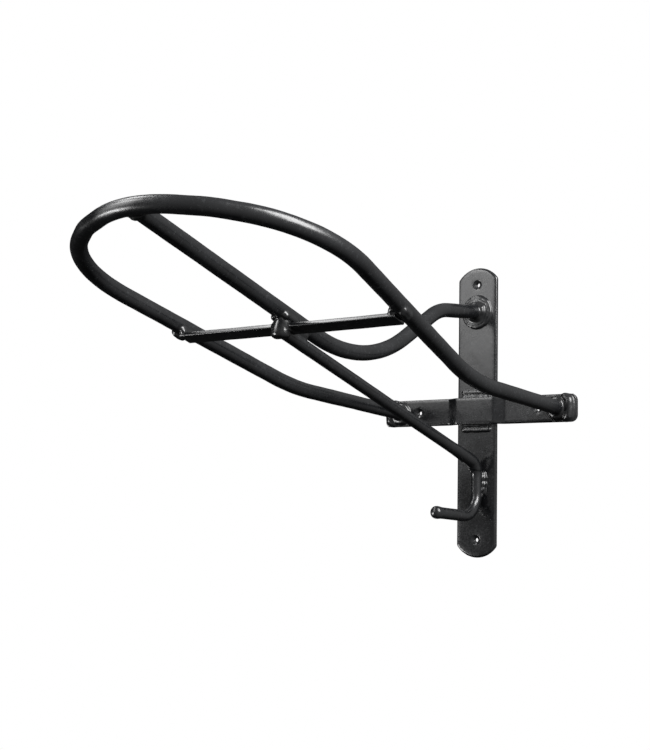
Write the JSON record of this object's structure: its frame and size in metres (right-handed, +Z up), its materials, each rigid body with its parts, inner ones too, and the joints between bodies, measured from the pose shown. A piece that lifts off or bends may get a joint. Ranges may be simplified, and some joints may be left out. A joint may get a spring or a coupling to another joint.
{
  "type": "saddle rack",
  "caption": "Wall-mounted saddle rack: a sloping bow of bent tube on a central spine, braced to a back plate with a cross strap, and a bridle hook below.",
  "frame": {"origin": "on the wall plane, in the middle of the back plate's back face", "axes": "+Y points into the wall, so the rack reaches out along -Y; +Z is up; +X is to the right for someone who faces the wall"},
  "size_m": [0.2702, 0.5174, 0.3],
  "materials": {
    "coated_flat": "thick glossy black coating over flat bar, with rounded edges",
    "coated_tube": "satin black coating over round tube, slightly orange-peeled",
    "coated_weld": "glossy black coating over lumpy weld beads"
  },
  "bodies": {
    "root": {"back_plate": "coated_flat", "cross_strap": "coated_flat", "bow_tube": "coated_tube", "spine_tube": "coated_tube", "spine_boss": "coated_flat", "cross_bar": "coated_flat", "brace_hook_rod": "coated_tube", "weld_foot_left": "coated_weld", "weld_foot_right": "coated_weld", "weld_nose": "coated_weld", "weld_spine_boss": "coated_weld", "weld_boss_plate": "coated_weld", "weld_strap_top": "coated_weld", "weld_strap_bottom": "coated_weld", "weld_bar_left": "coated_weld", "weld_bar_right": "coated_weld", "weld_bar_spine": "coated_weld", "weld_brace_bar": "coated_weld", "weld_rod_left": "coated_weld", "weld_rod_right": "coated_weld"}
  },
  "joints": []
}
